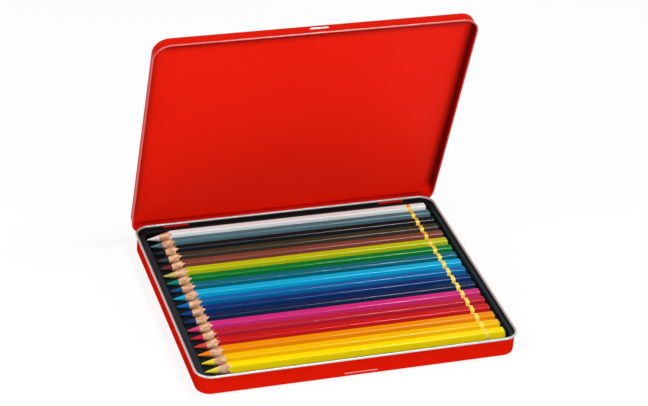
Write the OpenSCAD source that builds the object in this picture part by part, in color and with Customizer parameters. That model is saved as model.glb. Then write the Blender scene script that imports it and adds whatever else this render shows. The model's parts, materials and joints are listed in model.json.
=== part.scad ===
// Flat tin with a hinged lid, holding one row of hexagonal colour pencils in a
// plastic insert. The lid stands open.
//
// Millimetres. X runs along the pencils with their points at -X, +Y is the hinge
// side, +Z is up. The origin is the centre of the pan's underside.

/* [Pencils] */
// Length of a pencil from its point to its dipped end
pencil_len = 176; // [120:1:200]
// Width of a pencil across its flats
pencil_flats = 6.85; // [5.5:0.05:9]
// Width across the corners that the rounding leaves, over the width of the flats
corner_over = 0.8; // [0.5:0.05:0.9]
// Gap between two neighbours
pencil_gap = 0.28; // [0.15:0.01:1.5]
// Diameter of the coloured lead
lead_d = 4; // [2:0.1:4.5]
// Half angle of the sharpened cone
cone_angle = 14; // [9:0.5:20]
// Radius of the blunted point
point_r = 0.27; // [0.1:0.01:0.6]
// Length of solid wood and lacquer behind the lead
end_cap = 1.5; // [0.5:0.1:4]
// Rounding of the dipped end
end_round = 0.7; // [0.2:0.1:1.5]

/* [Insert] */
// Thickness of the insert's sheet
tray_sheet = 0.6; // [0.4:0.1:1.2]
// Width of the flange at the points
flange_points = 4.4; // [2:0.1:8]
// Width of the flange at the dipped ends
flange_ends = 2.2; // [2:0.1:8]
// Width of the flange along the first and the last pencil
flange_sides = 3; // [2.8:0.1:8]
// Room in front of the points
room_points = 0.9; // [0.5:0.1:6]
// Room behind the dipped ends
room_ends = 3.1; // [0.5:0.1:6]
// Room beside the first and the last pencil
room_sides = 1.6; // [0.5:0.1:6]
// Depth of the flange below the pan's rim
flange_drop = 2.2; // [0.8:0.1:2.5]
// Height that the pencils stick out above the flange
pencil_proud = 1.7; // [-1:0.1:2]
// Length of each bed that the pencils lie on
bed_len = 56; // [30:1:60]
// Length of the finger trough between the two beds
trough_len = 26; // [16:1:40]
// Inner corner radius of the well
well_r = 5; // [3:0.5:10]
// Gap round the insert
tray_fit = 0.3; // [0.15:0.05:0.6]
// Gap below each pencil on its bed
bed_fit = 0.05; // [0.02:0.01:0.2]

/* [Tin] */
// Thickness of the tinplate
sheet = 0.3; // [0.2:0.05:0.5]
// Height of the pan
pan_h = 13.2; // [12.5:0.1:20]
// Diameter of the pan's rolled rim
pan_curl = 1.4; // [1.2:0.1:2.2]
// Corner radius of the pan, over its rolled rim
corner_r = 9.3; // [7.5:0.1:14]
// Bottom edge radius of the pan
pan_edge = 1.5; // [0.8:0.1:2.5]
// Depth of the lid
lid_d = 7.5; // [7:0.1:9]
// Diameter of the lid's rolled rim
lid_curl = 1; // [1:0.1:1.8]
// Edge radius of the lid's panel
lid_edge = 1.5; // [0.8:0.1:1.6]
// Gap between the pan's rolled rim and the lid's skirt
lid_fit = 0.2; // [0.2:0.05:0.6]
// Gap between the pan's rolled rim and the closed lid's panel
lid_seat = 0.2; // [0.05:0.05:0.3]

/* [Hinge and catch] */
// Opening angle of the lid
lid_open = 74; // [0:1:90]
// Height of the hinge axis above the closed lid's rolled rim
axis_up = 1.8; // [1.8:0.05:2.1]
// Distance of the hinge axis behind the pan's rolled rim
axis_back = 0.9; // [0.7:0.05:1]
// Width of a hinge tab
tab_w = 14.5; // [8:0.5:24]
// Distance between the middles of the two tabs
tab_span = 137; // [80:1:150]
// Gap beside and below a tab in its slot
slot_fit = 0.5; // [0.3:0.1:1]
// Gap between the swinging tab and the pan's rolled rim
tab_clear = 0.1; // [0.05:0.05:0.3]
// Length of the pressed catch on the lid's front
catch_len = 11; // [6:0.5:20]
// Distance of the catch from the lid's rolled rim
catch_up = 4.6; // [3.5:0.1:5]
// Length of the thumb groove low on the pan's front
groove_len = 19; // [10:0.5:40]
// Height of the thumb groove's middle
groove_z = 2.4; // [2.2:0.1:3]
// Radius of the round tool that pressed both
press_r = 1.5; // [1.2:0.1:2]
// Depth of both
press_depth = 0.15; // [0.1:0.05:0.15]

/* [Hidden] */
$fn = 64;

// One row from the hinge side to the front: name and lacquer
pencils = [
  ["white", "#d8dddc"], ["slate", "#5d7a88"], ["black", "#161717"],
  ["sepia", "#4a4844"], ["russet", "#7f4133"], ["lime", "#bdba20"],
  ["green", "#00762b"], ["teal", "#017791"], ["cyan", "#25add2"],
  ["azure", "#0070ad"], ["cobalt", "#024584"], ["navy", "#263855"],
  ["magenta", "#d33f83"], ["crimson", "#c22e40"], ["red", "#d02826"],
  ["orange", "#eb9203"], ["golden", "#f7be02"], ["yellow", "#ffeb02"]
];
last = len(pencils) - 1;

// Pencils
pencil_wide = pencil_flats + corner_over;
pitch = pencil_wide + pencil_gap;
row_wid = last * pitch + pencil_wide;

// Insert, sized by the row that it holds
well_len = room_points + pencil_len + room_ends;
well_wid = row_wid + 2 * room_sides;
tray_len = flange_points + well_len + flange_ends;
tray_wid = well_wid + 2 * flange_sides;
well_x = (flange_points - flange_ends) / 2;
point_x = -tray_len / 2 + flange_points + room_points;
tray_top = pan_h - flange_drop;
axis_z = tray_top + pencil_proud - pencil_flats / 2;
bed_z = axis_z - pencil_flats / 2 - bed_fit;

// Pan, sized by the insert that it holds
tin_len = tray_len + 2 * (tray_fit + pan_curl);
tin_wid = tray_wid + 2 * (tray_fit + pan_curl);
wall_y = tin_wid / 2 - pan_curl;

// Lid, sized by the pan that it closes
lid_grow = lid_fit + lid_curl;
lid_len = tin_len + 2 * lid_grow;
lid_wid = tin_wid + 2 * lid_grow;
lid_z = pan_h + lid_seat + sheet - lid_d;
skirt_y = tin_wid / 2 + lid_fit;

// Hinge
hinge_y = tin_wid / 2 + axis_back;
hinge_z = lid_z + axis_up;
curl_from_axis = norm([hinge_y - (tin_wid - pan_curl) / 2, pan_h - pan_curl / 2 - hinge_z]);
tab_reach = curl_from_axis - pan_curl / 2 - tab_clear;
tab_y = hinge_y - sqrt(pow(tab_reach, 2) - pow(axis_up, 2));
slot_top = pan_h - pan_curl;
slot_low = lid_z - slot_fit;
slot_w = tab_w + 2 * slot_fit;
notch_y = tray_wid / 2 - flange_sides + 2 * tray_sheet;

red = "#d81a10";
tin = "#c9cfcc";
plastic = "#17191a";

module round_plate(l, w, r) {
  square([l - 2 * r, w], center = true);
  square([l, w - 2 * r], center = true);
  for (x = [-1, 1], y = [-1, 1])
    translate([x * (l / 2 - r), y * (w / 2 - r)])
      circle(r = r);
}

// Carries a profile round a rounded rectangle. The profile's x points outwards
// from the rectangle's edge, its y points up.
module swept(l, w, r) {
  for (k = [0:3]) {
    run = k % 2 == 0 ? w : l;
    off = k % 2 == 0 ? l : w;
    rotate(90 * k) {
      translate([off / 2, run / 2 - r, 0])
        rotate([90, 0, 0])
          linear_extrude(run - 2 * r)
            children();
      translate([off / 2 - r, run / 2 - r, 0])
        rotate_extrude(angle = 90)
          translate([r, 0])
            children();
    }
  }
}

// Section of a drawn wall: plate, edge radius, wall and a rim rolled outwards,
// with the gap that the roll leaves beside the wall
module wall_section(h, curl, edge) {
  out = sheet - curl;
  lip = 0.6;
  translate([out - edge - lip, 0])
    square([lip, sheet]);
  intersection() {
    translate([out - edge, edge])
      difference() {
        circle(r = edge);
        circle(r = edge - sheet);
      }
    translate([out - edge, 0])
      square(edge);
  }
  translate([-curl, edge])
    square([sheet, h - curl / 2 - edge]);
  translate([-curl / 2, h - curl / 2])
    difference() {
      circle(d = curl);
      circle(d = curl - 2 * sheet);
      translate([sheet - curl / 2, -curl])
        square([curl / 4, curl]);
    }
}

// Shallow tin with a rim rolled outwards, standing on its plate
module tin_shell(l, w, r, h, curl, edge) {
  inset = curl - sheet + edge;
  swept(l, w, r)
    wall_section(h, curl, edge);
  linear_extrude(sheet)
    round_plate(l - 2 * inset, w - 2 * inset, r - inset);
}

// Rod with round ends along X
module rod(l, r) {
  rotate([0, 90, 0])
    cylinder(h = l - 2 * r, r = r, center = true);
  for (x = [-1, 1])
    translate([x * (l / 2 - r), 0, 0])
      sphere(r = r);
}

// Puts a dent into a front wall whose outer face is at y: the metal bulges inside
module pressed(y, z, l) {
  difference() {
    union() {
      children();
      intersection() {
        translate([0, y - press_r + press_depth, z])
          rod(l + 2 * sheet, press_r + sheet);
        translate([-l, y + sheet / 2, z - press_r])
          cube([2 * l, press_r, 2 * press_r]);
      }
    }
    translate([0, y - press_r + press_depth, z])
      rod(l, press_r);
  }
}

module at_tabs() {
  for (x = [-1, 1])
    translate([x * tab_span / 2, 0, 0])
      children();
}

module pan() {
  color(tin)
    difference() {
      pressed(-wall_y - sheet, groove_z, groove_len)
        tin_shell(tin_len, tin_wid, corner_r, pan_h, pan_curl, pan_edge);
      at_tabs()
        translate([-slot_w / 2, wall_y - sheet, slot_low])
          cube([slot_w, pan_curl + sheet, slot_top - slot_low]);
    }
}

// The lid shut on the pan
module shut_lid() {
  difference() {
    pressed(-skirt_y - sheet, lid_z + catch_up, catch_len)
      translate([0, 0, lid_z + lid_d])
        mirror([0, 0, 1])
          tin_shell(lid_len, lid_wid, corner_r + lid_grow, lid_d, lid_curl, lid_edge);
    at_tabs()
      translate([-tab_w / 2 - sheet, skirt_y + sheet, lid_z - sheet])
        cube([tab_w + 2 * sheet, lid_curl, lid_curl + sheet]);
  }
  at_tabs()
    translate([-tab_w / 2, tab_y, lid_z])
      cube([tab_w, skirt_y + sheet - tab_y, sheet]);
}

module lid() {
  color(red)
    translate([0, hinge_y, hinge_z])
      rotate([-lid_open, 0, 0])
        translate([0, -hinge_y, -hinge_z])
          shut_lid();
}

module at_beds() {
  for (side = [-1, 1])
    translate([well_x + side * (trough_len + bed_len) / 2, 0])
      children();
}

// Insert without its raised beds
module flanged_well() {
  difference() {
    union() {
      translate([0, 0, tray_top - tray_sheet])
        linear_extrude(tray_sheet)
          round_plate(tray_len, tray_wid, corner_r - pan_curl - tray_fit);
      translate([well_x, 0, sheet])
        linear_extrude(tray_top - sheet)
          round_plate(well_len + 2 * tray_sheet, well_wid + 2 * tray_sheet, well_r + tray_sheet);
    }
    translate([well_x, 0, sheet + tray_sheet])
      linear_extrude(pan_h)
        round_plate(well_len, well_wid, well_r);
  }
}

// The beds cross the whole well and are open below, as a formed sheet is
module insert_tray() {
  color(plastic)
    difference() {
      union() {
        flanged_well();
        at_beds()
          translate([0, 0, sheet])
            linear_extrude(bed_z - sheet)
              square([bed_len, well_wid + tray_sheet], center = true);
      }
      at_beds()
        linear_extrude(bed_z - tray_sheet)
          square([bed_len - 2 * tray_sheet, well_wid], center = true);
      at_tabs()
        translate([-slot_w / 2, notch_y, tray_top - 2 * tray_sheet])
          cube([slot_w, flange_sides, 3 * tray_sheet]);
    }
}

// A pencil's turned outline along its own axis: point, cone, rounded corners and end
module turned() {
  r = pencil_wide / 2;
  cone = (r - point_r) / tan(cone_angle);
  rotate([0, 90, 0])
    rotate_extrude() {
      polygon([
        [0, 0], [point_r, 0], [r, cone], [r, pencil_len - end_round],
        [r - end_round, pencil_len], [0, pencil_len]
      ]);
      translate([r - end_round, pencil_len - end_round])
        intersection() {
          circle(r = end_round);
          square(end_round);
        }
    }
}

module core(l) {
  rotate([0, 90, 0])
    cylinder(h = l, d = lead_d);
}

module in_row(i) {
  translate([point_x, (last / 2 - i) * pitch, axis_z])
    children();
}

module casing(i) {
  color(pencils[i][1])
    in_row(i)
      difference() {
        intersection() {
          rotate([30, 0, 0])
            rotate([0, 90, 0])
              cylinder(h = pencil_len, d = pencil_flats / cos(30), $fn = 6);
          turned();
        }
        core(pencil_len - end_cap);
      }
}

module lead(i) {
  color(pencils[i][1])
    in_row(i)
      intersection() {
        core(pencil_len - end_cap);
        turned();
      }
}

pan();
lid();
insert_tray();
for (i = [0:last]) {
  casing(i);
  lead(i);
}
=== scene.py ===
import json
import math
import bmesh
import bpy
from mathutils import Matrix, Vector


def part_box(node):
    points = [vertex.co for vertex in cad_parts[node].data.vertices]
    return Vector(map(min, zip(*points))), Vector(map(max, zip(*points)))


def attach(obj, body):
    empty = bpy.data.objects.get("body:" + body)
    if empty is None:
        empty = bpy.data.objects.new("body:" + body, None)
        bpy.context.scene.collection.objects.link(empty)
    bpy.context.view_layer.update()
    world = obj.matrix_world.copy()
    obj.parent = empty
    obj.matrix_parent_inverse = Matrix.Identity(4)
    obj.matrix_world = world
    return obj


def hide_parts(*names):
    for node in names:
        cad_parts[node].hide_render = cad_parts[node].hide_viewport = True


mm = 0.001
hair = 0.1 * mm  # margin for telling faces apart
squarely = 0.999  # least share of a direction that counts as facing one way

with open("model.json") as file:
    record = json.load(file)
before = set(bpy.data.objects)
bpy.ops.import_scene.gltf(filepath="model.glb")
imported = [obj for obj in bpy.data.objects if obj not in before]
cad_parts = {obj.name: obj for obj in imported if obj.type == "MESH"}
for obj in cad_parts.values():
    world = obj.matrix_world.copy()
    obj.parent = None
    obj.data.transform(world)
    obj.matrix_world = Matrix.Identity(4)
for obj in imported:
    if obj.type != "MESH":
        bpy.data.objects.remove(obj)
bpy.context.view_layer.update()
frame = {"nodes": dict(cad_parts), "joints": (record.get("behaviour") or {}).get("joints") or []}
print("frame loaded:", len(frame["nodes"]), "nodes")


# Node helpers, for materials and for Geometry Nodes alike

class Wire:  # an output of a node; arithmetic on it adds Math nodes
    def __init__(self, node, socket):
        self.node = node
        self.socket = socket

    def out(self, name):  # another output of the same node
        return Wire(self.node, self.node.outputs[name])

    def __add__(self, other):
        return maths("ADD", self, other)

    def __radd__(self, other):
        return maths("ADD", other, self)

    def __sub__(self, other):
        return maths("SUBTRACT", self, other)

    def __rsub__(self, other):
        return maths("SUBTRACT", other, self)

    def __mul__(self, other):
        return maths("MULTIPLY", self, other)

    def __rmul__(self, other):
        return maths("MULTIPLY", other, self)

    def __truediv__(self, other):
        return maths("DIVIDE", self, other)

    def __rtruediv__(self, other):
        return maths("DIVIDE", other, self)

    def __gt__(self, other):
        return maths("GREATER_THAN", self, other)

    def __lt__(self, other):
        return maths("LESS_THAN", self, other)


def addNode(tree, kind, settings=None, sockets=None):
    node = tree.nodes.new(kind)
    for name, value in (settings or {}).items():
        if name == "captured":  # kind and name of each attribute that is kept
            for itemKind, itemName in value:
                node.capture_items.new(itemKind, itemName)
        else:
            setattr(node, name, value)
    for key, value in (sockets or {}).items():
        if isinstance(value, Wire):
            tree.links.new(value.socket, node.inputs[key])
        else:
            node.inputs[key].default_value = value
    return Wire(node, next((socket for socket in node.outputs if socket.enabled), None))


def maths(operation, *values, clamp=False):
    tree = next(value.node.id_data for value in values if isinstance(value, Wire))
    return addNode(tree, "ShaderNodeMath", {"operation": operation, "use_clamp": clamp},
                   dict(enumerate(values)))


def fromHex(text):  # linear colour from the way a screen writes it
    parts = [int(text[k:k + 2], 16) / 255 for k in (1, 3, 5)]
    linear = [p / 12.92 if p <= 0.04045 else ((p + 0.055) / 1.055) ** 2.4 for p in parts]
    return (*linear, 1)


def mixColour(tree, factor, first, second, blend="MIX"):
    return addNode(tree, "ShaderNodeMix", {"data_type": "RGBA", "blend_type": blend},
                   {0: factor, 6: first, 7: second})


def newTree(name):
    finish = bpy.data.materials.new(name)
    finish.use_nodes = True
    finish.node_tree.nodes.clear()
    return finish, finish.node_tree


def objectPlace(tree, scale=(1, 1, 1)):
    place = addNode(tree, "ShaderNodeTexCoord").out("Object")
    return addNode(tree, "ShaderNodeMapping", {"vector_type": "POINT"},
                   {"Vector": place, "Scale": scale})


def placeParts(tree, place=None):  # X, Y and Z of a point on the piece
    return addNode(tree, "ShaderNodeSeparateXYZ", None, {"Vector": place or objectPlace(tree)})


def ramp(value, start, reach):  # 0 up to the start, then up to 1 over the reach
    return maths("DIVIDE", value - start, reach, clamp=True)


def noise(tree, place, scale, detail=3, roughness=0.55):
    return addNode(tree, "ShaderNodeTexNoise", None,
                   {"Vector": place, "Scale": scale, "Detail": detail, "Roughness": roughness})


def bump(tree, height, look):
    strength, depth = look["bump"]
    return addNode(tree, "ShaderNodeBump", None,
                   {"Height": height, "Strength": strength, "Distance": depth})


def closeFinish(tree, sockets):
    shader = addNode(tree, "ShaderNodeBsdfPrincipled", None, sockets)
    addNode(tree, "ShaderNodeOutputMaterial", None, {"Surface": shader})


# Camera and studio

camera = {
    "azimuth": -19.792,  # degrees
    "elevation": 32.115,
    "roll": 4.589,
    "aim": (33.466 * mm, 100.002 * mm, 0),
    "distance": 1.392369,
    "lens": 123.517,
    "near": 0.05,  # nothing closer is drawn
}


def makeCamera():
    azimuth = math.radians(camera["azimuth"])
    elevation = math.radians(camera["elevation"])
    back = Vector((math.sin(azimuth) * math.cos(elevation),
                   -math.cos(azimuth) * math.cos(elevation),
                   math.sin(elevation)))
    level = Vector((math.cos(azimuth), math.sin(azimuth), 0))
    right = Matrix.Rotation(math.radians(camera["roll"]), 3, back) @ level
    up = back.cross(right)
    lens = bpy.data.cameras.new("camera")
    lens.lens = camera["lens"]
    lens.clip_start = camera["near"]
    body = bpy.data.objects.new("camera", lens)
    body.matrix_world = Matrix.Translation(Vector(camera["aim"]) + back * camera["distance"]) @ Matrix((
        (right.x, up.x, back.x), (right.y, up.y, back.y), (right.z, up.z, back.z))).to_4x4()
    bpy.context.collection.objects.link(body)
    bpy.context.scene.camera = body


studio = {
    "floorSize": 6.0,  # metres
    "floorDrop": 0.1 * mm,  # under the tin
    "floorColour": "#fbfbfb",
    "floorCloud": (3, 0.02, (0.9, 0.9, 0.9, 1)),  # scale, share, colour
    "shadowShare": 0.16,  # how much of the object's shadow the white floor keeps
    "worldLight": 0.40,
    "lamps": {  # place, aim, width, height, watts
        "softTop": ((0.38, -0.28, 1.22), (0, 0.02, 0), 0.30, 0.30, 7.5),
        "softLeft": ((-0.85, -0.22, 0.95), (0, 0.02, 0), 0.40, 0.40, 5.0),
        "softFront": ((0.0, -1.70, 0.20), (0, 0.05, 0.05), 0.9, 0.3, 9.5),
    },
}


def seenDirectly(tree):  # 1 for rays that show the background: camera, gloss and glass
    path = addNode(tree, "ShaderNodeLightPath")
    return maths("MAXIMUM", path.out("Is Camera Ray"),
                 maths("MAXIMUM", path.out("Is Glossy Ray"), path.out("Is Transmission Ray")))


def makeStudio():
    scene = bpy.context.scene
    scene.view_settings.view_transform = "Standard"
    world = bpy.data.worlds.new("studio")
    world.use_nodes = True
    world.node_tree.nodes.clear()
    seen = seenDirectly(world.node_tree)
    strength = seen * (1 - studio["worldLight"]) + studio["worldLight"]
    backdrop = addNode(world.node_tree, "ShaderNodeBackground", None,
                       {"Color": (1, 1, 1, 1), "Strength": strength})
    addNode(world.node_tree, "ShaderNodeOutputWorld", None, {"Surface": backdrop})
    scene.world = world

    finish, tree = newTree("floorWhite")
    scale, share, shade = studio["floorCloud"]
    cloud = noise(tree, objectPlace(tree), scale)
    paint = mixColour(tree, cloud * share, fromHex(studio["floorColour"]), shade)
    plain = addNode(tree, "ShaderNodeBsdfDiffuse", None, {"Color": paint})
    white = addNode(tree, "ShaderNodeEmission", None, {"Color": (1, 1, 1, 1), "Strength": 1.0})
    path = seenDirectly(tree)
    shown = addNode(tree, "ShaderNodeMixShader", None,
                    {0: path * (1 - studio["shadowShare"]), 1: plain, 2: white})
    addNode(tree, "ShaderNodeOutputMaterial", None, {"Surface": shown})
    half = studio["floorSize"] / 2
    mesh = bpy.data.meshes.new("floor")
    mesh.from_pydata([(-half, -half, 0), (half, -half, 0), (half, half, 0), (-half, half, 0)],
                     [], [(0, 1, 2, 3)])
    mesh.transform(Matrix.Translation((0, 0, -studio["floorDrop"])))
    mesh.materials.append(finish)
    floor = bpy.data.objects.new("floor", mesh)
    bpy.context.collection.objects.link(floor)

    for name, (place, aim, width, height, watts) in studio["lamps"].items():
        lamp = bpy.data.lights.new(name, "AREA")
        lamp.shape = "RECTANGLE"
        lamp.size = width
        lamp.size_y = height
        lamp.energy = watts
        holder = bpy.data.objects.new(name, lamp)
        holder.location = place
        holder.rotation_euler = (Vector(aim) - Vector(place)).to_track_quat("-Z", "Y").to_euler()
        bpy.context.collection.objects.link(holder)


makeCamera()
makeStudio()
print("camera and studio made")


# Finishes

# in each look, bump is the strength and the depth of its fine grain
tinplateLook = {
    "colour": (0.50, 0.54, 0.53, 1),
    "shade": (0.41, 0.45, 0.44, 1),
    "innerWithPaintedShade": (0.03, 0.034, 0.034, 1),  # painted shade: near-black on the wall below the roll
    "rollShows": 1.0 * mm,
    "metallic": 0.5,
    "roughness": 0.32,
    "smear": 0.10,
    "grainScale": 900,
    "cloudScale": 60,
    "cloudShare": 0.35,
    "bump": (0.08, 0.05 * mm),
}


def insideEdge(place, length, width, corner):  # how far a point lies inside a rounded outline
    overX = maths("ABSOLUTE", place.out("X")) - (length / 2 - corner)
    overY = maths("ABSOLUTE", place.out("Y")) - (width / 2 - corner)
    outX, outY = maths("MAXIMUM", overX, 0), maths("MAXIMUM", overY, 0)
    return corner - maths("SQRT", outX * outX + outY * outY) - maths(
        "MINIMUM", maths("MAXIMUM", overX, overY), 0)


def tinplateFinish():
    finish, tree = newTree("bareTinplate")
    look = tinplateLook
    rolled = noise(tree, objectPlace(tree, (0.25, 1, 1)), look["grainScale"], 4)
    cloud = noise(tree, objectPlace(tree), look["cloudScale"])
    tint = mixColour(tree, cloud * look["cloudShare"], look["colour"], look["shade"])
    place = placeParts(tree)
    inside = insideEdge(place, panSize.x, panSize.y, tin["panCorner"])
    # painted shade: the inner wall below the roll is drawn near-black
    innerWithPaintedShade = (inside > tin["panCurl"] - hair) * (place.out("Z") < panTop - look["rollShows"])
    tint = mixColour(tree, innerWithPaintedShade, tint, look["innerWithPaintedShade"])
    closeFinish(tree, {
        "Base Color": tint,
        "Metallic": look["metallic"],
        "Roughness": rolled * look["smear"] + look["roughness"],
        "Normal": bump(tree, rolled, look),
    })
    return finish


redLook = {
    "light": "#f5210e",  # painted light: the lid's inside, a brighter copy of the same red
    "deep": "#ec1c0a",
    # painted shade: the same red drawn darker, for the pan and the lid's outer faces
    "shadedOutside": "#d01806",
    "shadedOutsideDeep": "#c81504",
    "bend": "#6c0a07",  # along the lid's bend, where little light comes in
    "rubbedAndPaintedHighlight": "#f6f2e6",  # painted highlight: a near-white bar on the catch and the groove
    "roughness": 0.32,
    "peel": 0.06,  # what the lacquer's uneven flow adds to the roughness
    "peelScale": 1400,
    "cloudScale": 25,
    "bump": (0.05, 0.03 * mm),
    "lidGloss": 0.03,
    "panGloss": 0.0,
    "rollCoat": 1.0,
    "rollGlint": 2.0,  # refractive index
    "rollRoughness": 0.15,
    "shadeReach": 6.0 * mm,
    "frontShade": 14.0 * mm,
    "shadeShare": 0.95,
    "tabShade": 0.7,
    "catchBar": 0.5 * mm,  # half the painted highlight bar's height
    "grooveBar": (9.7 * mm, 2.6 * mm, 0.35 * mm),  # painted highlight bar on the groove: half length, height, half width
    "grooveShare": 0.45,
}


def redColour(tree, light, deep):
    cloud = noise(tree, objectPlace(tree), redLook["cloudScale"])
    return mixColour(tree, cloud, fromHex(redLook[light]), fromHex(redLook[deep]))


def redSurface(tree, colour, gloss):
    peel = noise(tree, objectPlace(tree), redLook["peelScale"], 2)
    return {
        "Base Color": colour,
        "Roughness": peel * redLook["peel"] + redLook["roughness"],
        "Specular IOR Level": gloss,
        "Normal": bump(tree, peel, redLook),
    }


def frontBar(place, halfLength, height, halfHeight):  # 1 on a level bar of the front
    return ((maths("ABSOLUTE", place.out("X")) < halfLength) * (place.out("Y") < 0)
            * (maths("ABSOLUTE", place.out("Z") - height) < halfHeight))


def outsideFinish():
    finish, tree = newTree("redOutside")
    # painted highlight: a pale bar drawn on the groove
    paintedHighlight = frontBar(placeParts(tree), *redLook["grooveBar"]) * redLook["grooveShare"]
    # painted shade: the pan's outside takes the darker copy of the red
    colour = mixColour(tree, paintedHighlight, redColour(tree, "shadedOutside", "shadedOutsideDeep"),
                       fromHex(redLook["rubbedAndPaintedHighlight"]))
    closeFinish(tree, redSurface(tree, colour, redLook["panGloss"]))
    return finish


def lidFinish(opened, pivot, length, width, corner, rim):
    # drawn on the lid as it lies shut, from the roll's outer edge inwards
    finish, tree = newTree("redLacquer")
    turn = Matrix.Rotation(-opened, 3, "X")
    place = addNode(tree, "ShaderNodeTexCoord").out("Object")
    shut = addNode(tree, "ShaderNodeMapping", {"vector_type": "POINT"}, {
        "Vector": place, "Rotation": (-opened, 0, 0), "Location": pivot - turn @ pivot})
    parts = placeParts(tree, shut)
    inside = insideEdge(parts, length, width, corner)
    height = parts.out("Z") - rim
    curl, reach = tin["lidCurl"], redLook["shadeReach"]
    isInner = (inside > curl - tin["sheet"] / 2) * (height < tin["lidDepth"] - tin["sheet"] / 2)
    isRoll = (inside < curl + hair) * (height < curl)
    isTab = (height < tin["sheet"] + hair / 2) * (inside > curl + hair)

    # the bend lies in shade all round but at the hinge, and further in at the front
    fade = ramp(curl + reach - inside, 0, reach)
    offHinge = ramp(width / 2 - reach - parts.out("Y"), 0, reach)
    frontFade = ramp(redLook["frontShade"] - width / 2 - parts.out("Y"), 0, reach)
    shade = maths("MAXIMUM", fade * fade * offHinge, frontFade * frontFade)
    shade = maths("MAXIMUM", (1 - isRoll) * shade * redLook["shadeShare"],
                  isTab * redLook["tabShade"])
    innerWithPaintedShade = mixColour(tree, shade, redColour(tree, "light", "deep"), fromHex(redLook["bend"]))
    # painted shade: the lid's outer faces take the darker copy of the red
    colour = mixColour(tree, isInner, redColour(tree, "shadedOutside", "shadedOutsideDeep"), innerWithPaintedShade)

    # painted highlight: a near-white metallic bar drawn on the catch
    paintedHighlight = (frontBar(parts, catch["length"] / 2, rim + catch["rise"], redLook["catchBar"])
            * (1 - isInner))
    colour = mixColour(tree, paintedHighlight, colour, fromHex(redLook["rubbedAndPaintedHighlight"]))
    closeFinish(tree, {
        **redSurface(tree, colour, redLook["lidGloss"]),
        "Metallic": paintedHighlight,
        "Coat Weight": isRoll * redLook["rollCoat"],
        "Coat IOR": redLook["rollGlint"],
        "Coat Roughness": redLook["rollRoughness"],
    })
    return finish


plasticLook = {
    "colour": "#17262a",
    "haze": "#213135",
    "dark": "#050606",  # at the hinge side, in the lid's shade
    "darkFrom": 60.0 * mm,
    "darkOver": 12.0 * mm,
    "roughness": 0.5,
    "hazeRoughness": 0.12,
    "gloss": 0.15,
    "grainScale": 1800,
    "hazeScale": 90,
    "hazeShare": 0.5,
    "bump": (0.12, 0.04 * mm),
}


def plasticFinish():
    finish, tree = newTree("formedPlastic")
    look = plasticLook
    grain = noise(tree, objectPlace(tree), look["grainScale"], 2)
    haze = noise(tree, objectPlace(tree), look["hazeScale"])
    tint = mixColour(tree, haze * look["hazeShare"], fromHex(look["colour"]), fromHex(look["haze"]))
    dark = ramp(placeParts(tree).out("Y"), look["darkFrom"], look["darkOver"])
    tint = mixColour(tree, dark, tint, fromHex(look["dark"]))
    closeFinish(tree, {
        "Base Color": tint,
        "Roughness": haze * look["hazeRoughness"] + look["roughness"],
        "Specular IOR Level": look["gloss"],
        "Normal": bump(tree, grain, look),
    })
    return finish


woodLook = {
    "light": "#f2c9a0",
    "dark": "#a9673a",
    "fleck": "#8a4d28",
    "bandScale": 650,
    "contrast": 2.6,
    "darkShare": 0.42,
    "fleckScale": 4200,
    "fleckFrom": 0.56,
    "fleckRise": 5,
    "fleckShare": 0.7,
    "shavingScale": 2600,
    "roughness": 0.62,
    "bandRoughness": 0.15,
    "bump": (0.35, 0.06 * mm),
}


def cedarFinish():
    finish, tree = newTree("cedar")
    look = woodLook
    broad = noise(tree, objectPlace(tree, (0.35, 1, 1)), look["bandScale"], 3)
    fine = noise(tree, objectPlace(tree, (0.05, 1, 1)), look["fleckScale"], 2)
    shaved = noise(tree, objectPlace(tree, (1, 0.35, 0.35)), look["shavingScale"], 2)
    band = maths("ADD", (broad - 0.5) * look["contrast"], look["darkShare"], clamp=True)
    ground = mixColour(tree, band, fromHex(look["light"]), fromHex(look["dark"]))
    flecks = maths("MULTIPLY", fine - look["fleckFrom"], look["fleckRise"], clamp=True)
    closeFinish(tree, {
        "Base Color": mixColour(tree, flecks * look["fleckShare"], ground, fromHex(look["fleck"])),
        "Roughness": broad * look["bandRoughness"] + look["roughness"],
        "Normal": bump(tree, shaved + fine, look),
    })
    return finish


foilLook = {
    "colour": (0.95, 0.72, 0.09, 1),
    # a duller gold where the foil is rubbed
    "rubbedAndPaintedHighlight": (0.86, 0.58, 0.05, 1),
    "metallic": 0.45,
    "roughness": 0.2,
    "rubRoughness": 0.16,
    "rubScale": 2500,
    "rubShare": 0.3,
    "bump": (0.10, 0.02 * mm),
}


def foilFinish():
    finish, tree = newTree("goldFoil")
    look = foilLook
    rub = noise(tree, objectPlace(tree), look["rubScale"], 3)
    closeFinish(tree, {
        "Base Color": mixColour(tree, rub * look["rubShare"], look["colour"], look["rubbedAndPaintedHighlight"]),
        "Metallic": look["metallic"],
        "Roughness": rub * look["rubRoughness"] + look["roughness"],
        "Normal": bump(tree, rub, look),
    })
    return finish


lacquerLook = {
    "roughness": 0.22,
    "grainRoughness": 0.08,
    "gloss": 0.05,
    "grainScale": 1500,
    "grainShare": 0.5,
    "grainShade": (0.82, 0.82, 0.82, 1),
    "bump": (0.12, 0.03 * mm),
    "edgeGlint": 2.0,  # refractive index of the bright lacquer on the six edges
    "edgeRoughness": 0.12,
    "edgeInset": 0.06 * mm,
    "edgeBlend": 0.04 * mm,
    "edgeCoat": (0.12, 0.5),  # at the point's half, and what the dipped half has more
    "coatFrom": -20 * mm,
    "coatOver": 70 * mm,
}


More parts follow.
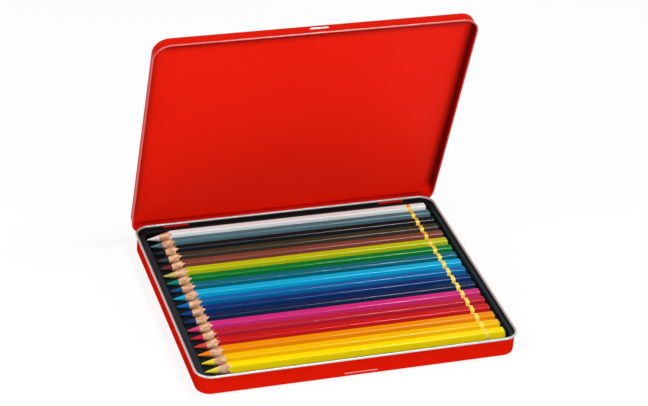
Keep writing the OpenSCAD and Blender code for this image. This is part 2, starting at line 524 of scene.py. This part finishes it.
def lacquerFinish(name, colour, middle, flats):  # dipped paint, brighter on the six edges
    finish, tree = newTree("lacquer_" + name)
    look = lacquerLook
    grain = noise(tree, objectPlace(tree, (0.02, 1, 1)), look["grainScale"], 3)
    shade = mixColour(tree, 1.0, fromHex(colour), look["grainShade"], "MULTIPLY")
    parts = placeParts(tree)
    offY, offZ = parts.out("Y") - middle[1], parts.out("Z") - middle[2]
    corner = pencil["cornerRadius"]
    outermost = (flats / 2 - corner) / math.cos(math.pi / 6) + corner
    edge = ramp(maths("SQRT", offY * offY + offZ * offZ),
                outermost - look["edgeInset"], look["edgeBlend"])
    thick = ramp(parts.out("X"), look["coatFrom"], look["coatOver"])
    least, more = look["edgeCoat"]
    closeFinish(tree, {
        "Base Color": mixColour(tree, grain * look["grainShare"], fromHex(colour), shade),
        "Roughness": grain * look["grainRoughness"] + look["roughness"],
        "Specular IOR Level": look["gloss"],
        "Coat Weight": edge * (thick * more + least),
        "Coat IOR": look["edgeGlint"],
        "Coat Roughness": look["edgeRoughness"],
        "Normal": bump(tree, grain, look),
    })
    return finish


leadLook = {
    "dust": (0.012, 0.012, 0.012, 1),  # added to the colour where dust lies
    "dustScale": 1500,
    "dustShare": 0.5,
    "ringScale": 3200,
    "roughness": 0.42,
    "dustRoughness": 0.2,
    "gloss": 0.1,
    "bump": (0.3, 0.04 * mm),
}


def leadFinish(name, colour):  # waxy lead with the rings that sharpening leaves
    finish, tree = newTree("lead_" + name)
    look = leadLook
    rings = noise(tree, objectPlace(tree, (1, 0.12, 0.12)), look["ringScale"], 2)
    dust = noise(tree, objectPlace(tree), look["dustScale"], 3)
    pale = mixColour(tree, 1.0, fromHex(colour), look["dust"], "ADD")
    closeFinish(tree, {
        "Base Color": mixColour(tree, dust * look["dustShare"], fromHex(colour), pale),
        "Roughness": dust * look["dustRoughness"] + look["roughness"],
        "Specular IOR Level": look["gloss"],
        "Normal": bump(tree, rings, look),
    })
    return finish


# Sheet metal: a course is the sheet's middle line with the direction of its right face

def arcCourse(centre, radius, start, stop, steps, side):
    course = []
    for k in range(steps + 1):
        turn = math.radians(start + (stop - start) * k / steps)
        radial = Vector((math.cos(turn), math.sin(turn)))
        course.append((Vector(centre) + radius * radial, side * radial))
    return course


def sheetOutline(course, thickness, noseSteps=6):
    half = thickness / 2
    right = [place + half * face for place, face in course]
    left = [place - half * face for place, face in reversed(course)]
    tip, face = course[-1]
    ahead = Vector((-face.y, face.x))
    nose = []
    for k in range(1, noseSteps):
        turn = math.pi * k / noseSteps
        nose.append(tip + half * (math.cos(turn) * face + math.sin(turn) * ahead))
    return right + nose + left


def roundedStations(length, width, radius, steps=16, front=(), back=(), middle=0.0):
    stations = []
    for k, (sideX, sideY) in enumerate(((1, -1), (1, 1), (-1, 1), (-1, -1))):
        if k == 0:
            stations += [(Vector((x, -width / 2)), Vector((0, -1))) for x in sorted(front)]
        if k == 2:
            stations += [(Vector((x, width / 2)), Vector((0, 1))) for x in sorted(back)[::-1]]
        centre = Vector((middle + sideX * (length / 2 - radius), sideY * (width / 2 - radius)))
        for step in range(steps + 1):
            turn = math.radians(90 * (k - 1 + step / steps))
            radial = Vector((math.cos(turn), math.sin(turn)))
            stations.append((centre + radius * radial, radial))
    return stations


def sweepSheet(bm, stations, outline, windows, paintOf):
    # a window is left out of the sheet: stations, then rows of the course, up to the nose if None
    grid = [[bm.verts.new((*(place + outwards * p.x), p.y)) for p in outline]
            for place, outwards in stations]
    last = len(outline) - 1
    count = len(stations)

    def skin(*corners):
        return bm.faces.new([grid[i % count][j] for i, j in corners])

    def isOpen(i, j):
        for (first, end), (low, high) in windows:
            if first <= i < end:
                if high is None and low <= j < last - low:
                    return True
                if high is not None and (low <= j < high or last - high <= j < last - low):
                    return True
        return False

    for i in range(count):
        for j in range(last):
            if not isOpen(i, j):
                face = skin((i, j), (i + 1, j), (i + 1, j + 1), (i, j + 1))
                face.material_index = paintOf(j)
    for (first, end), (low, high) in windows:
        for i in range(first, end):
            skin((i, low), (i + 1, low), (i + 1, last - low), (i, last - low))
            if high is not None:
                skin((i, high), (i, last - high), (i + 1, last - high), (i + 1, high))
        for i in (first, end):
            if high is None:
                skin(*[(i, j) for j in range(low, last - low + 1)])
            else:
                for j in range(low, high):
                    skin((i, j), (i, j + 1), (i, last - j - 1), (i, last - j))
    for j in (0, last):  # the flat plate, below and above
        face = bm.faces.new([column[j] for column in grid])
        face.material_index = paintOf(min(j, last - 1))


def closeBar(bm, outlines):  # a closed bar between two outlines of as many points
    ends = [[bm.verts.new(point) for point in outline] for outline in outlines]
    for j in range(len(ends[0])):
        k = (j + 1) % len(ends[0])
        bm.faces.new((ends[0][j], ends[0][k], ends[1][k], ends[1][j]))
    for end in ends:
        bm.faces.new(end)


def finishMesh(bm, name, finishes, sharpAngle=32):
    bmesh.ops.recalc_face_normals(bm, faces=bm.faces)
    mesh = bpy.data.meshes.new(name)
    bm.to_mesh(mesh)
    bm.free()
    for finish in finishes:
        mesh.materials.append(finish)
    mesh.shade_smooth()
    mesh.set_sharp_from_angle(angle=math.radians(sharpAngle))
    piece = bpy.data.objects.new(name, mesh)
    bpy.context.collection.objects.link(piece)
    return piece


def indexOf(values, wanted):
    return min(range(len(values)), key=lambda k: abs(values[k] - wanted))


tin = {
    "sheet": 0.3 * mm,
    "panCurl": 1.4 * mm,
    "panCorner": 9.3 * mm,
    "panEdge": 1.5 * mm,
    "lidDepth": 7.5 * mm,
    "lidCurl": 1.0 * mm,
    "lidEdge": 1.5 * mm,
    "lidSeat": 0.2 * mm,
    "lidGap": 0.2 * mm,  # between the pan's roll and the lid's skirt
    "tabWidth": 14.5 * mm,
    "tabSpan": 137.0 * mm,
    "slotFit": 0.5 * mm,
    "tabReach": 3.0 * mm,  # from the middle of the skirt's sheet to the tab's end
    "tabBend": 0.42 * mm,
    "curlEnd": -100,  # degrees, where both rims' rolls end
    "curlSteps": 28,
    "bendSteps": 8,
    "plateRings": (2.0 * mm, 0.3 * mm),  # rings of faces on the plate, inside the bend
}
catch = {"length": 11.0 * mm, "rise": 4.6 * mm, "depth": 0.15 * mm, "tool": 1.5 * mm,
         "grip": 0.5 * mm}
groove = {"length": 25.0 * mm, "rise": 1.5 * mm, "depth": 0.45 * mm, "tool": 2.6 * mm,
          "grip": 1.0 * mm}
# columns of faces at a dent's end, measured outwards from it
dentColumns = [-1.6 * mm] + [(0.2 * k - 1.2) * mm for k in range(9)] + [1.5 * mm]

panLow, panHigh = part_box("pan")
panSize = Vector(panHigh) - Vector(panLow)
panTop = panHigh[2]


def wallCourse(depth, curl, edge, rows):
    # plate, bend, wall and a rim rolled outwards; x 0 is the roll's outside
    t = tin["sheet"]
    out = t - curl
    course = [(Vector((out - edge - ring, t / 2)), Vector((0, -1))) for ring in tin["plateRings"]]
    course += arcCourse((out - edge, edge), edge - t / 2, -90, 0, tin["bendSteps"], 1)
    wallX = t / 2 - curl
    firstRow = len(course)
    for z in rows:
        course.append((Vector((wallX, z)), Vector((1, 0))))
    course += arcCourse((-curl / 2, depth - curl / 2), (curl - t) / 2, 180, tin["curlEnd"],
                        tin["curlSteps"], -1)
    return course, firstRow


def dentDepth(feature, x, z):  # how deep a round tool of this length sinks in here
    overrun = max(0.0, abs(x) - feature["length"] / 2 + feature["tool"])
    off = overrun ** 2 + z ** 2
    if off >= feature["tool"] ** 2:
        return 0.0
    return max(0.0, math.sqrt(feature["tool"] ** 2 - off) - feature["tool"] + feature["depth"])


def dentStations(feature):
    half = feature["length"] / 2
    return [0] + [side * (half + off) for off in dentColumns for side in (-1, 1)]


def pressDent(bm, feature, wallY, z0):
    for vertex in bm.verts:
        if abs(vertex.co.y - wallY) < feature["grip"]:
            vertex.co.y += dentDepth(feature, vertex.co.x, vertex.co.z - z0)


def tabEdges(half):  # where the tabs or their slots begin and end along the rear
    return [side * tin["tabSpan"] / 2 + edge for side in (-1, 1) for edge in (-half, half)]


def tabWindows(stations, half, rows):
    windows = []
    for side in (-1, 1):
        found = [k for k, (place, outwards) in enumerate(stations) if outwards.y > squarely
                 and abs(place.x - side * tin["tabSpan"] / 2) < half + hair]
        windows.append(((min(found), max(found)), rows))
    return windows


def makePan(tinplate, red):
    slot = tin["tabWidth"] / 2 + tin["slotFit"]
    stations = roundedStations(panSize.x, panSize.y, tin["panCorner"],
                               front=dentStations(groove), back=tabEdges(slot))
    slotLow = panTop + tin["lidSeat"] + tin["sheet"] - tin["lidDepth"] - tin["slotFit"]
    slotTop = panTop - tin["panCurl"]
    rows = [(1.6 + 0.1 * k) * mm for k in range(20)]  # close rows where the groove is pressed
    rows += [3.8 * mm, slotLow, 8 * mm, slotTop, 12 * mm]
    course, firstRow = wallCourse(panTop, tin["panCurl"], tin["panEdge"], rows)
    outline = sheetOutline(course, tin["sheet"])
    low = firstRow + indexOf(rows, slotLow)
    high = firstRow + indexOf(rows, slotTop)
    bm = bmesh.new()
    sweepSheet(bm, stations, outline, tabWindows(stations, slot, (low, high)),
               lambda j: 1 if j < len(course) - 1 else 0)
    pressDent(bm, groove, panLow[1] + tin["panCurl"] - tin["sheet"] / 2, groove["rise"])
    pan = finishMesh(bm, "drawnPan", [tinplate, red])
    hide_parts("pan")
    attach(pan, "base")


def makeLid():
    hinge = next(joint for joint in frame["joints"] if joint["name"] == "lid_hinge")
    pivot = Vector(hinge["pos_m"])
    opened = math.radians(hinge["range_deg"][0])
    grow = tin["lidGap"] + tin["lidCurl"]
    length = panSize.x + 2 * grow
    width = panSize.y + 2 * grow
    top = panTop + tin["lidSeat"] + tin["sheet"]
    rim = top - tin["lidDepth"]
    half = tin["tabWidth"] / 2
    stations = roundedStations(length, width, tin["panCorner"] + grow,
                               front=dentStations(catch), back=tabEdges(half))
    catchZ = tin["lidDepth"] - catch["rise"]
    rows = [catchZ + (0.1 * k - 1.0) * mm for k in range(21)] + [tin["lidDepth"] - 1.4 * mm]
    rows = [z for z in rows if z > tin["lidEdge"] + 0.2 * mm]
    course, firstRow = wallCourse(tin["lidDepth"], tin["lidCurl"], tin["lidEdge"], rows)
    outline = [Vector((p.x, top - p.y)) for p in sheetOutline(course, tin["sheet"])]
    rollStart = firstRow + len(rows)
    bm = bmesh.new()
    sweepSheet(bm, stations, outline, tabWindows(stations, half, (rollStart, None)), lambda j: 0)
    pressDent(bm, catch, -width / 2 + tin["lidCurl"] - tin["sheet"] / 2, rim + catch["rise"])
    for side in (-1, 1):
        addTab(bm, side * tin["tabSpan"] / 2, width / 2 - tin["lidCurl"] + tin["sheet"] / 2, rim)
    swing = Matrix.Translation(pivot) @ Matrix.Rotation(opened, 4, "X") @ Matrix.Translation(-pivot)
    bm.transform(swing)
    red = lidFinish(opened, pivot, length, width, tin["panCorner"] + grow, rim)
    lid = finishMesh(bm, "drawnLid", [red])
    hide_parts("lid")
    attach(lid, "lid")


def addTab(bm, middle, wallY, rim):
    # the skirt's sheet goes on below the cut roll, bends inwards and ends in a round nose
    t = tin["sheet"]
    bend = tin["tabBend"]
    half = tin["tabWidth"] / 2
    course = [(Vector((wallY, rim + tin["lidCurl"] / 2)), Vector((-1, 0)))]
    course += arcCourse((wallY - bend, rim + t / 2 + bend), bend, 0, -90, 6, -1)
    course.append((Vector((wallY + t / 2 - tin["tabReach"], rim + t / 2)), Vector((0, 1))))
    outline = sheetOutline(course, t)
    closeBar(bm, [[(middle + x, p.x, p.y) for p in outline] for x in (-half, half)])


# Insert: one formed sheet with a flange, a well and two raised beds

insert = {
    "sheet": 0.6 * mm,
    "outerCorner": 7.6 * mm,
    "wellCorner": 5.0 * mm,
    "flangePoints": 4.4 * mm,
    "flangeEnds": 2.2 * mm,
    "flangeSides": 3.0 * mm,
    "notchDepth": 1.4 * mm,
    "notchStep": 0.02 * mm,  # half the width of a notch's steep side
    "edgeRound": 0.12 * mm,
    "edgeLip": 0.3 * mm,
    "bedLength": 56.0 * mm,
    "troughLength": 26.0 * mm,
    "bedTop": 5.8 * mm,
    "bend": 0.9 * mm,
    "bendSteps": 8,
    "bedSteps": 6,
    "flangeRing": 0.25 * mm,  # rings of faces beside the well's bends
    "floorRing": 1.5 * mm,
    "ribHeight": 1.85 * mm,
    "ribWidth": 2.9 * mm,
    "ribInset": 3.0 * mm,  # how much shorter a rib is than its bed
    "ribSink": 0.05 * mm,
}


def makeInsert(plastic):
    low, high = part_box("insert_tray")
    t = insert["sheet"]
    length, width = high[0] - low[0], high[1] - low[1]
    wellLength = length - insert["flangePoints"] - insert["flangeEnds"]
    wellWidth = width - 2 * insert["flangeSides"]
    wellX = (insert["flangePoints"] - insert["flangeEnds"]) / 2
    slot = tin["tabWidth"] / 2 + tin["slotFit"]
    notchXs = [x + off for x in tabEdges(slot) for off in (-insert["notchStep"], insert["notchStep"])]
    outer = roundedStations(length, width, insert["outerCorner"], back=notchXs)
    well = roundedStations(wellLength, wellWidth, insert["wellCorner"], back=notchXs, middle=wellX)
    for place, outwards in outer:  # the flange is cut back where the lid's tabs swing
        if outwards.y > squarely and abs(abs(place.x) - tin["tabSpan"] / 2) < slot:
            place.y -= insert["notchDepth"]
    bend = insert["bend"]
    top = high[2]
    floor = low[2]
    # from the flange's edge over the bend down the wall to the floor; x 0 is the well's inside
    steps = insert["bendSteps"]
    course = [(Vector((bend + insert["flangeRing"], top - t / 2)), Vector((0, -1)))]
    course += arcCourse((bend, top - t / 2 - bend), bend, 90, 180, steps, -1)
    course = [(p + Vector((t / 2, 0)), n) for p, n in course]
    course += arcCourse((t / 2 - bend, floor + t / 2 + bend), bend, 0, -90, steps, 1)
    course.append((Vector((-insert["floorRing"], floor + t / 2)), Vector((0, -1))))
    upper = [p - n * t / 2 for p, n in course]
    lower = [p + n * t / 2 for p, n in course]
    edge = insert["edgeRound"]
    border = [Vector((0, top - t)), Vector((0, top - edge)), Vector((-edge, top)),
              Vector((-insert["edgeLip"], top))]
    bm = bmesh.new()

    def ringsOf(stations, points):
        return [[bm.verts.new((*(place + outwards * p.x), p.y)) for place, outwards in stations]
                for p in points]

    rows = ringsOf(outer, border) + ringsOf(well, upper)
    under = ringsOf(well, reversed(lower))
    bm.faces.new(rows[-1])
    bm.faces.new(under[0])
    rows += [None] + under + [rows[0]]
    for first, second in zip(rows, rows[1:]):
        if first and second:
            for i in range(len(first)):
                k = (i + 1) % len(first)
                bm.faces.new((first[i], first[k], second[k], second[i]))
    for side in (-1, 1):
        middle = wellX + side * (insert["troughLength"] + insert["bedLength"]) / 2
        addBed(bm, middle, wellWidth / 2 + t / 2, floor)
    tray = finishMesh(bm, "formedInsert", [plastic])
    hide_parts("insert_tray")
    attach(tray, "base")
    return wellX


def addBed(bm, middle, halfWidth, floor):
    half = insert["bedLength"] / 2
    bend = insert["bend"]
    top = insert["bedTop"]
    t = insert["sheet"]
    steps = insert["bedSteps"]
    right = []  # the bed's wall stands half a bend inside its length
    for centre, start, stop in (((half + bend * 0.5, floor + t + bend), 270, 180),
                                ((half - bend * 1.5, top - bend), 0, 90)):
        for k in range(steps + 1):
            turn = math.radians(start + (stop - start) * k / steps)
            right.append((centre[0] + bend * math.cos(turn), centre[1] + bend * math.sin(turn)))
    outline = [(half + bend * 0.5, floor + t / 2)] + right
    outline += [(-x, z) for x, z in reversed(outline)]
    closeBar(bm, [[(middle + x, y, z) for x, z in outline] for y in (-halfWidth, halfWidth)])


# Geometry Nodes

def newShapeTree(name, inputs):
    tree = bpy.data.node_groups.new(name, "GeometryNodeTree")
    tree.is_modifier = True
    for label, kind in inputs:
        tree.interface.new_socket(label, in_out="INPUT", socket_type="NodeSocket" + kind)
    tree.interface.new_socket("Geometry", in_out="OUTPUT", socket_type="NodeSocketGeometry")
    source = addNode(tree, "NodeGroupInput")
    return tree, {label: source.out(label) for label, kind in inputs}


def growShape(name, tree, values):  # runs a tree and keeps its result as a plain mesh
    piece = bpy.data.objects.new(name, bpy.data.meshes.new(name))
    bpy.context.collection.objects.link(piece)
    modifier = piece.modifiers.new("shape", "NODES")
    modifier.node_group = tree
    for item in tree.interface.items_tree:
        if item.item_type == "SOCKET" and item.in_out == "INPUT":
            modifier[item.identifier] = values[item.name]
    graph = bpy.context.evaluated_depsgraph_get()
    shape = bpy.data.meshes.new_from_object(piece.evaluated_get(graph), depsgraph=graph)
    piece.modifiers.clear()
    piece.data = shape
    shape.name = name
    return piece


class Skin:
    # a grid wrapped round the pencil's axis: rows run along it in stages, columns round it
    def __init__(self, tree, columns):
        self.tree = tree
        self.columns = columns
        self.index = addNode(tree, "GeometryNodeInputIndex")
        self.row = maths("FLOOR", (self.index + 0.5) / (columns + 1))
        self.column = self.index - self.row * (columns + 1)
        self.rows = 0

    def stage(self, rows):  # 0 before these rows, 1 after them
        share = ramp(self.row, self.rows, rows)
        self.rows += rows
        return share

    def close(self, along, radius, turn, point, creases, finishes, grid):
        tree = self.tree
        place = addNode(tree, "ShaderNodeCombineXYZ", None, {
            "X": along, "Y": radius * maths("COSINE", turn), "Z": radius * maths("SINE", turn)})
        place = addNode(tree, "ShaderNodeVectorMath", {"operation": "ADD"}, {0: place, 1: point})
        kept = addNode(tree, "GeometryNodeCaptureAttribute",
                       {"captured": [("FLOAT", "Row")], "domain": "POINT"},
                       {"Geometry": grid, "Row": self.row})
        row = kept.out("Row")
        shaped = addNode(tree, "GeometryNodeSetPosition", None,
                         {"Geometry": kept.out("Geometry"), "Position": place})
        merged = addNode(tree, "GeometryNodeMergeByDistance", None,
                         {"Geometry": shaped, "Distance": pencil["weld"]})
        crease = 0
        for wanted in creases:
            crease = crease + (maths("ABSOLUTE", row - wanted) < 0.1)
        soft = addNode(tree, "GeometryNodeSetShadeSmooth", {"domain": "EDGE"},
                       {"Geometry": merged, "Selection": crease, "Shade Smooth": False})
        result = addNode(tree, "GeometryNodeRealizeInstances", None, {"Geometry": soft})
        for finish, low, high in finishes:
            chosen = (row > low) * (row < high)
            result = addNode(tree, "GeometryNodeSetMaterial", None,
                             {"Geometry": result, "Selection": chosen, "Material": finish})
        addNode(tree, "NodeGroupOutput", None, {"Geometry": result})


pencil = {
    "cornerRadius": 0.35 * mm,
    "leadRadius": 2.0 * mm,
    "leadGap": 0.015 * mm,
    "coneAngle": math.radians(14),  # half the point's angle
    "bluntRadius": 0.27 * mm,  # the cone's radius at the very point
    "solidEnd": 1.5 * mm,
    "endRound": 0.7 * mm,
    "ringFromEnd": 12.2 * mm,
    "ringWidth": 2.3 * mm,
    "ragged": 1.1 * mm,  # how uneven the lacquer's edge on the cone is
    "raggedTurns": 5,  # more gives more scallops round the cone
    "weld": 0.002 * mm,
}
sizeInputs = [("Point", "Vector"), ("Length", "Float"), ("Flats", "Float"), ("Seed", "Float")]


def casingTree():
    tree, size = newShapeTree("pencilCasing", sizeInputs + [
        ("Lacquer", "Material"), ("Wood", "Material"), ("Foil", "Material")])
    perSector, cornerShare, coneRows, endRows = 20, 0.3, 10, 5
    skin = Skin(tree, 6 * perSector)
    apothem = size["Flats"] / 2
    corner = pencil["cornerRadius"]
    # angle from the middle of the nearest flat; the corners get their own share of the columns
    tan30 = math.tan(math.pi / 6)
    softStart = maths("ARCTANGENT", (1 - corner / apothem) * tan30)
    sector = skin.column / perSector
    whole = maths("FLOOR", maths("MINIMUM", sector, 5.999))  # the last column closes sector 5
    inSector = sector - whole - 0.5
    fromCorner = maths("ABSOLUTE", inSector) * 2
    onFlat = maths("DIVIDE", 1 - fromCorner, 1 - cornerShare, clamp=True)
    onCorner = maths("DIVIDE", cornerShare - fromCorner, cornerShare, clamp=True)
    swing = onFlat * softStart + onCorner * (math.pi / 6 - softStart)
    way = maths("SIGN", inSector)
    turn = (whole + 1) * (math.pi / 3) + way * (math.pi / 6 - swing)
    flatRadius = apothem / maths("COSINE", swing)
    centre = (apothem - corner) / math.cos(math.pi / 6)
    offCorner = math.pi / 6 - swing
    reach = centre * maths("SINE", offCorner)
    roundRadius = centre * maths("COSINE", offCorner) + maths(
        "SQRT", maths("MAXIMUM", corner ** 2 - reach * reach, 0))
    isRound = onCorner > 0.001
    radius = flatRadius + isRound * (roundRadius - flatRadius)

    tanCone = math.tan(pencil["coneAngle"])
    spot = addNode(tree, "ShaderNodeCombineXYZ", None, {
        "X": maths("COSINE", turn) * pencil["raggedTurns"],
        "Y": maths("SINE", turn) * pencil["raggedTurns"],
        "Z": size["Seed"]})
    ragged = (addNode(tree, "ShaderNodeTexNoise", None, {"Vector": spot, "Scale": 1.0, "Detail": 2.0})
              - 0.5) * pencil["ragged"]
    front = (pencil["leadRadius"] - pencil["bluntRadius"]) / tanCone
    coneEnd = (radius - pencil["bluntRadius"]) / tanCone + ragged
    boreEnd = size["Length"] - pencil["solidEnd"]
    ringStart = size["Length"] - pencil["ringFromEnd"]
    ringEnd = ringStart + pencil["ringWidth"]
    roundStart = size["Length"] - pencil["endRound"]

    boreFloor = skin.stage(1)
    boreWall = skin.stage(1)
    cone = skin.stage(coneRows)
    body = skin.stage(1)
    ring = skin.stage(1)
    tail = skin.stage(1)
    rounding = skin.stage(endRows) * (math.pi / 2)
    cap = skin.stage(1)
    along = (boreEnd + boreWall * (front - boreEnd) + cone * (coneEnd - front)
             + body * (ringStart - coneEnd) + ring * (ringEnd - ringStart)
             + tail * (roundStart - ringEnd) + maths("SINE", rounding) * pencil["endRound"])
    fullRadius = radius - pencil["leadRadius"]
    across = (boreFloor * pencil["leadRadius"] + cone * fullRadius
              - (1 - maths("COSINE", rounding)) * pencil["endRound"]
              - cap * (radius - pencil["endRound"]))
    grid = addNode(tree, "GeometryNodeMeshGrid", None,
                   {"Vertices X": skin.rows + 1, "Vertices Y": skin.columns + 1})
    paintFrom = 2 + coneRows
    skin.close(along, across, turn, size["Point"], (1, 2, paintFrom, skin.rows - 1), [
        (size["Lacquer"], paintFrom, skin.rows), (size["Wood"], 0, paintFrom),
        (size["Foil"], paintFrom + 1, paintFrom + 2)], grid)
    return tree


def leadTree():
    tree, size = newShapeTree("pencilLead", sizeInputs + [("Lead", "Material")])
    skin = Skin(tree, 64)
    turn = skin.column * (2 * math.pi / skin.columns)
    angle = pencil["coneAngle"]
    tanCone = math.tan(angle)
    radius = pencil["leadRadius"] - pencil["leadGap"]
    front = (radius - pencil["bluntRadius"]) / tanCone
    ball = pencil["bluntRadius"] / (1 / math.cos(angle) - tanCone)
    touchX = ball * (1 - math.sin(angle))
    touchRadius = ball * math.cos(angle)
    boreEnd = size["Length"] - pencil["solidEnd"]
    back = skin.stage(1)
    rod = skin.stage(1)
    cone = skin.stage(8)
    nose = angle + skin.stage(6) * (math.pi / 2 - angle)
    along = (boreEnd + rod * (front - boreEnd) + cone * (touchX - front)
             - (maths("SINE", nose) - math.sin(angle)) * ball)
    across = (back * radius + cone * (touchRadius - radius)
              - (math.cos(angle) - maths("COSINE", nose)) * ball)
    grid = addNode(tree, "GeometryNodeMeshGrid", None,
                   {"Vertices X": skin.rows + 1, "Vertices Y": skin.columns + 1})
    skin.close(along, across, turn, size["Point"], (1, 2), [(size["Lead"], -1, skin.rows + 1)], grid)
    return tree


def ribTree():  # low ribs between the pencils, across each bed
    tree, size = newShapeTree("bedRibs", [
        ("Start", "Vector"), ("Pitch", "Float"), ("Count", "Int"), ("Length", "Float"),
        ("Width", "Float"), ("Height", "Float"), ("Plastic", "Material")])
    line = addNode(tree, "GeometryNodeCurvePrimitiveLine", {"mode": "DIRECTION"},
                   {"Start": (0, 0, 0), "Direction": (1, 0, 0), "Length": size["Length"]})
    fine = addNode(tree, "GeometryNodeResampleCurve", None, {"Curve": line, "Count": 41})
    share = addNode(tree, "GeometryNodeSplineParameter").out("Factor")
    fromEnd = maths("MINIMUM", share, 1 - share) * 16  # the ribs' ends run out in a curve
    swell = maths("SQRT", maths("MINIMUM", fromEnd * (2 - fromEnd), 1, clamp=True))
    swell = maths("MAXIMUM", swell, (fromEnd > 1) * 1.0)
    tapered = addNode(tree, "GeometryNodeSetCurveRadius", None,
                      {"Curve": fine, "Radius": maths("MAXIMUM", swell, 0.02)})
    ring = addNode(tree, "GeometryNodeCurvePrimitiveCircle", {"mode": "RADIUS"},
                   {"Resolution": 20, "Radius": 0.5})
    scale = addNode(tree, "ShaderNodeCombineXYZ", None,
                    {"X": size["Width"], "Y": size["Height"] * 2, "Z": 1.0})
    oval = addNode(tree, "GeometryNodeTransform", None, {"Geometry": ring, "Scale": scale})
    rib = addNode(tree, "GeometryNodeCurveToMesh", None,
                  {"Curve": tapered, "Profile Curve": oval, "Fill Caps": True})
    step = addNode(tree, "ShaderNodeCombineXYZ", None, {"X": 0.0, "Y": size["Pitch"], "Z": 0.0})
    row = addNode(tree, "GeometryNodeMeshLine", {"mode": "OFFSET"},
                  {"Count": size["Count"], "Start Location": size["Start"], "Offset": step})
    ribs = addNode(tree, "GeometryNodeInstanceOnPoints", None, {"Points": row, "Instance": rib})
    result = addNode(tree, "GeometryNodeRealizeInstances", None, {"Geometry": ribs})
    result = addNode(tree, "GeometryNodeSetMaterial", None,
                     {"Geometry": result, "Material": size["Plastic"]})
    addNode(tree, "NodeGroupOutput", None, {"Geometry": result})
    return tree


pencilColours = {  # lacquer and lead, from the hinge side to the front
    "white": ("#e6f6f6", "#e2dedb"),
    "slate": ("#4e7681", "#4c7283"),
    "black": ("#111b1e", "#131c1f"),
    "sepia": ("#3a3628", "#33383a"),
    "russet": ("#7a4234", "#6a2822"),
    "lime": ("#b4c10d", "#bcb964"),
    "green": ("#047c2d", "#067d6f"),
    "teal": ("#046a7d", "#02487d"),
    "cyan": ("#04aeda", "#07a3cd"),
    "azure": ("#0469a8", "#0161a7"),
    "cobalt": ("#043270", "#0c3782"),
    "navy": ("#0f274d", "#132860"),
    "magenta": ("#cc2e7b", "#cd3a74"),
    "crimson": ("#b72033", "#c3163a"),
    "red": ("#c31b1b", "#d73c3c"),
    "orange": ("#e99004", "#f0820a"),
    "golden": ("#f1bf04", "#efd61e"),
    "yellow": ("#ffe204", "#ecdc3c"),
}


def makePencils():
    wood, foil = cedarFinish(), foilFinish()
    casingShape, leadShape = casingTree(), leadTree()
    for number, (name, (paint, pigment)) in enumerate(pencilColours.items()):
        low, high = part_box("casing_" + name)
        point = (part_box("lead_" + name)[0][0], (low[1] + high[1]) / 2, (low[2] + high[2]) / 2)
        size = {
            "Point": point,
            "Length": high[0] - point[0],
            "Flats": high[2] - low[2],
            "Seed": 7.3 * number,
            "Lacquer": lacquerFinish(name, paint, point, high[2] - low[2]),
            "Wood": wood,
            "Foil": foil,
            "Lead": leadFinish(name, pigment),
        }
        for kind, shape in (("casing", casingShape), ("lead", leadShape)):
            piece = growShape(kind + "Of_" + name, shape, size)
            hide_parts(kind + "_" + name)
            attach(piece, "pencil_" + name)
            kind + "_" + name


def makeRibs(plastic, wellX):
    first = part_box("casing_yellow")
    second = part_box("casing_golden")
    pitch = second[0][1] - first[0][1]
    start = (first[0][1] + first[1][1]) / 2 - pitch / 2
    shape = ribTree()
    for label, side in (("points", -1), ("ends", 1)):
        length = insert["bedLength"] - insert["ribInset"]
        middle = wellX + side * (insert["troughLength"] + insert["bedLength"]) / 2
        ribs = growShape("ribs_" + label, shape, {
            "Start": (middle - length / 2, start, insert["bedTop"] - insert["ribSink"]),
            "Pitch": pitch,
            "Count": len(pencilColours) + 1,
            "Length": length,
            "Width": insert["ribWidth"],
            "Height": insert["ribHeight"],
            "Plastic": plastic,
        })
        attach(ribs, "base")


blackPlastic = plasticFinish()
makePan(tinplateFinish(), outsideFinish())
print("pan drawn")
makeLid()
print("lid drawn")
wellMiddle = makeInsert(blackPlastic)
makeRibs(blackPlastic, wellMiddle)
print("insert formed")
makePencils()
print("pencils made:", len(pencilColours))
